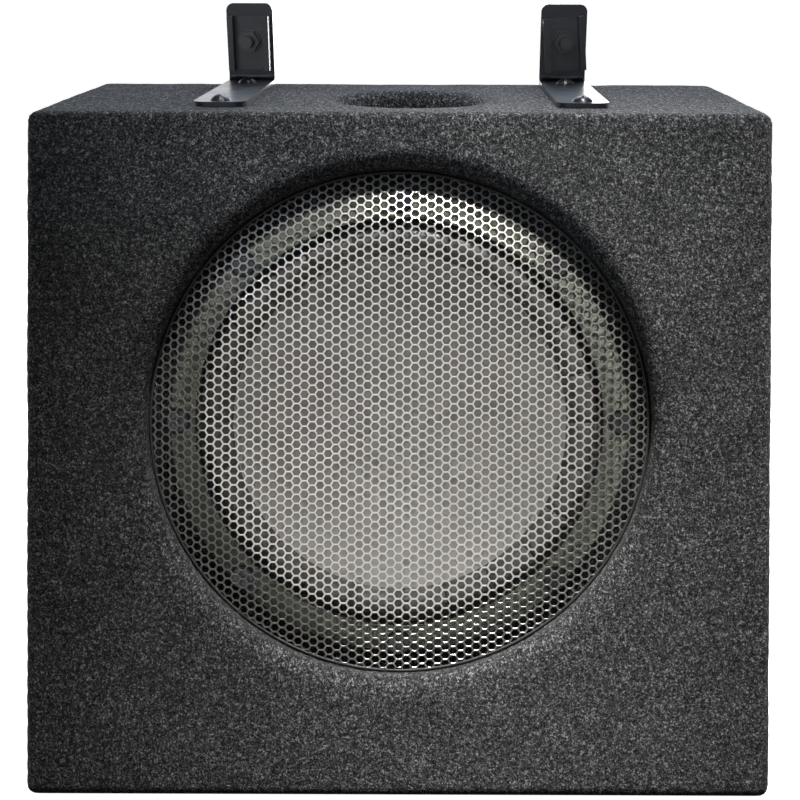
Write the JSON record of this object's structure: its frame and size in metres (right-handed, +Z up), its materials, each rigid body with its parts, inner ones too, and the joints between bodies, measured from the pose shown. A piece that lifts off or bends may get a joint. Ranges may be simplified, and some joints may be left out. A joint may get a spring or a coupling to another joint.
{
  "type": "powered car subwoofer",
  "caption": "Carpeted wedge box with a sprung driver behind a dished grille, a top port, a side amplifier with controls and bolt-on clamp brackets.",
  "frame": {"origin": "centre of the box's footprint, on the surface it stands on", "axes": "+Z up, +X to the right seen from the front, +Y to the back; the front leans back 20 degrees"},
  "size_m": [0.34, 0.2474, 0.3365],
  "materials": {
    "board": "raw fibre board",
    "black_board": "fibre board painted black",
    "felt": "needle-punched felt",
    "port_plastic": "matte",
    "grille_steel": "powder coated",
    "basket_steel": "satin black",
    "trim_foam": "soft matte",
    "black_screw": "black zinc",
    "surround_rubber": "satin",
    "cone_metal": "satin",
    "former_film": "thin foil",
    "copper": "enamelled winding",
    "spider_cloth": "resin cloth",
    "steel": "zinc plated",
    "ferrite": "matte",
    "tag": "tinned",
    "wire_jacket": "satin",
    "amp_metal": "black anodised",
    "gasket": "matte",
    "housing": "matte",
    "circuit": "solder mask",
    "capacitor": "sleeved",
    "socket_white": "matte",
    "socket_metal": "gold plated",
    "knob_plastic": "fine texture",
    "switch_plastic": "gloss",
    "led": "clear",
    "fuse_plastic": "clear",
    "bracket_steel": "satin black coat",
    "clamp_steel": "satin black coat",
    "bolt_steel": "black zinc"
  },
  "bodies": {
    "cabinet": {"front_baffle": "board", "inner_baffle": "black_board", "top_panel": "board", "bottom_panel": "board", "back_panel": "board", "left_side_panel": "board", "right_side_panel": "board", "carpet_wrap": "felt", "carpet_bottom": "felt", "carpet_side_left": "felt", "carpet_side_right": "felt", "port_tube": "port_plastic", "grille": "grille_steel", "basket": "basket_steel", "trim_ring": "trim_foam", "driver_screws": "black_screw", "top_plate": "steel", "magnet": "ferrite", "t_yoke": "steel", "speaker_terminals": "tag", "tinsel_leads": "copper", "speaker_cable": "wire_jacket", "amp_plate": "amp_metal", "amp_gasket": "gasket", "amp_back_box": "housing", "amp_circuit_board": "circuit", "amp_toroid": "copper", "amp_capacitors": "capacitor", "amp_transistors": "housing", "amp_screws": "black_screw", "power_terminal_block": "housing", "terminal_screws": "steel", "input_socket": "socket_white", "rca_sockets": "socket_metal", "remote_jack": "housing", "power_led": "led", "fuse_holder": "housing", "bracket_left": "bracket_steel", "bracket_right": "bracket_steel", "bracket_screws": "black_screw", "clamp_bolt_left": "bolt_steel", "clamp_bolt_right": "bolt_steel"},
    "driver_cone": {"cone": "cone_metal", "voice_coil_former": "former_film", "voice_coil": "copper", "surround": "surround_rubber", "spider": "spider_cloth"},
    "washer_left": {"clamp_washer_left": "bolt_steel"},
    "washer_right": {"clamp_washer_right": "bolt_steel"},
    "jaw_left": {"clamp_channel_left": "clamp_steel"},
    "jaw_right": {"clamp_channel_right": "clamp_steel"},
    "nut_left": {"clamp_nut_left": "bolt_steel"},
    "nut_right": {"clamp_nut_right": "bolt_steel"},
    "gain_control": {"gain_knob": "knob_plastic"},
    "crossover_control": {"crossover_knob": "knob_plastic"},
    "bass_control": {"bass_knob": "knob_plastic"},
    "phase_control": {"phase_switch": "switch_plastic"},
    "fuse_link": {"fuse": "fuse_plastic"}
  },
  "joints": [
    {"name": "cone_travel", "type": "slide", "parent": "cabinet", "child": "driver_cone", "axis": [0, -0.9397, 0.342], "range_m": [-0.006, 0.006], "stiffness_N_per_m": 2500, "deforming": ["surround", "spider", "tinsel_leads"]},
    {"name": "clamp_travel_left", "type": "slide", "parent": "cabinet", "child": "washer_left", "axis": [0, -1, 0], "range_m": [0, 0.008]},
    {"name": "nut_spin_left", "type": "hinge", "parent": "washer_left", "child": "nut_left", "pos_m": [-0.0855, 0.11332, 0.317], "axis": [0, -1, 0], "range_deg": [0, 2880]},
    {"name": "jaw_swivel_left", "type": "hinge", "parent": "washer_left", "child": "jaw_left", "pos_m": [-0.0855, 0.11332, 0.317], "axis": [0, -1, 0], "range_deg": [-12, 12]},
    {"name": "clamp_travel_right", "type": "slide", "parent": "cabinet", "child": "washer_right", "axis": [0, -1, 0], "range_m": [0, 0.008]},
    {"name": "nut_spin_right", "type": "hinge", "parent": "washer_right", "child": "nut_right", "pos_m": [0.0855, 0.11332, 0.317], "axis": [0, -1, 0], "range_deg": [0, 2880]},
    {"name": "jaw_swivel_right", "type": "hinge", "parent": "washer_right", "child": "jaw_right", "pos_m": [0.0855, 0.11332, 0.317], "axis": [0, -1, 0], "range_deg": [-17, 7]},
    {"name": "gain_turn", "type": "hinge", "parent": "cabinet", "child": "gain_control", "pos_m": [0.16, 0.002, 0.122], "axis": [1, 0, 0], "range_deg": [-135, 135]},
    {"name": "crossover_turn", "type": "hinge", "parent": "cabinet", "child": "crossover_control", "pos_m": [0.16, 0.026, 0.122], "axis": [1, 0, 0], "range_deg": [-135, 135]},
    {"name": "bass_turn", "type": "hinge", "parent": "cabinet", "child": "bass_control", "pos_m": [0.16, 0.05, 0.122], "axis": [1, 0, 0], "range_deg": [-135, 135]},
    {"name": "phase_slide", "type": "slide", "parent": "cabinet", "child": "phase_control", "axis": [0, 1, 0], "range_m": [0, 0.0044]},
    {"name": "fuse_pull", "type": "slide", "parent": "cabinet", "child": "fuse_link", "axis": [1, 0, 0], "range_m": [0, 0.012]}
  ],
  "couplings": [
    {"joint": "nut_spin_left", "follows": "clamp_travel_left", "rad_per_m": 6283.2},
    {"joint": "nut_spin_right", "follows": "clamp_travel_right", "rad_per_m": 6283.2}
  ]
}
